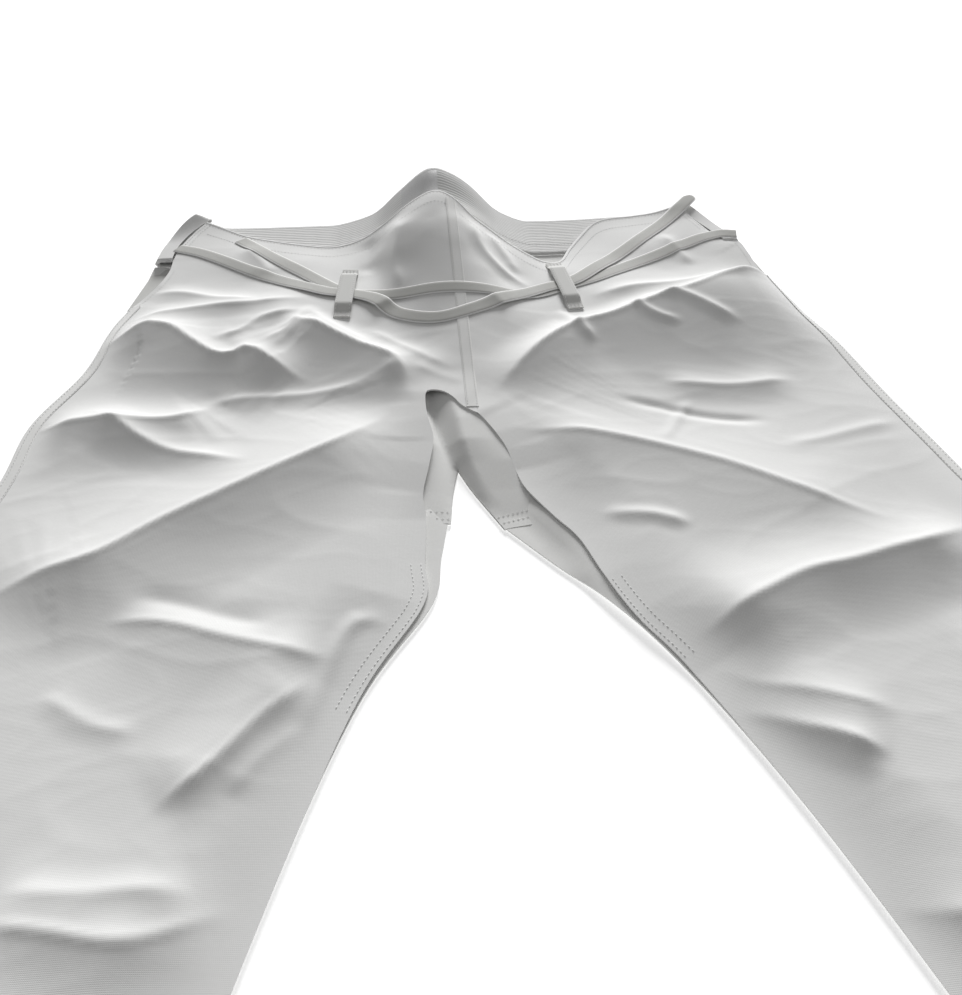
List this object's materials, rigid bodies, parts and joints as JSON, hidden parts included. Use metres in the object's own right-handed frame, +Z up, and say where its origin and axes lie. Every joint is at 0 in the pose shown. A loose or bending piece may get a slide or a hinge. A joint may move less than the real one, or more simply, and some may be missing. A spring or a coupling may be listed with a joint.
{
  "type": "martial arts trousers",
  "caption": "White cotton martial arts trousers laid flat, with a ribbed elastic back waistband, a tape drawstring through front loops and a diamond crotch gusset.",
  "frame": {"origin": "bottom centre of the bounding box, on the surface that the trousers lie on", "axes": "+X towards the wearer's left, +Y from the hems to the waist, +Z up out of the front of the trousers"},
  "size_m": [0.9, 0.998, 0.053],
  "materials": {
    "front_cotton": "matte cotton weave",
    "back_cotton": "matte cotton weave",
    "gusset_cotton": "matte cotton weave",
    "facing_cotton": "matte cotton weave",
    "ribbed_waistband": "matte cotton weave",
    "elastic": "woven elastic",
    "loop_cotton": "matte cotton weave",
    "tape_cotton": "matte cotton tape",
    "label_satin": "satin"
  },
  "bodies": {
    "root": {"right_front_panel": "front_cotton", "left_front_panel": "front_cotton", "right_back_panel": "back_cotton", "left_back_panel": "back_cotton", "crotch_gusset": "gusset_cotton", "front_waist_facing": "facing_cotton", "right_vent_facing": "facing_cotton", "left_vent_facing": "facing_cotton", "back_waistband": "ribbed_waistband", "waistband_elastic": "elastic", "right_belt_loop": "loop_cotton", "left_belt_loop": "loop_cotton", "drawstring_back_run": "tape_cotton", "drawstring_right_strand": "tape_cotton", "drawstring_left_strand": "tape_cotton", "blank_label": "label_satin"},
    "right_lower_leg": {"right_front_lower_leg": "front_cotton", "right_back_lower_leg": "back_cotton"},
    "left_lower_leg": {"left_front_lower_leg": "front_cotton", "left_back_lower_leg": "back_cotton"},
    "right_drawstring_tip": {"drawstring_right_end": "tape_cotton"},
    "left_drawstring_tip": {"drawstring_left_end": "tape_cotton"}
  },
  "joints": [
    {"name": "right_knee_fold", "type": "hinge", "parent": "root", "child": "right_lower_leg", "pos_m": [-0.2548, -0.1415, 0.032], "axis": [-0.97, 0.2429, 0], "range_deg": [0, 170]},
    {"name": "left_knee_fold", "type": "hinge", "parent": "root", "child": "left_lower_leg", "pos_m": [0.2395, -0.1265, 0.032], "axis": [-0.9568, -0.2908, 0], "range_deg": [0, 170]},
    {"name": "right_drawstring_pull", "type": "slide", "parent": "root", "child": "right_drawstring_tip", "axis": [0.6716, 0.7409, 0], "range_m": [0, 0.06]},
    {"name": "left_drawstring_pull", "type": "slide", "parent": "root", "child": "left_drawstring_tip", "axis": [-0.6532, 0.7572, 0], "range_m": [0, 0.06]}
  ]
}
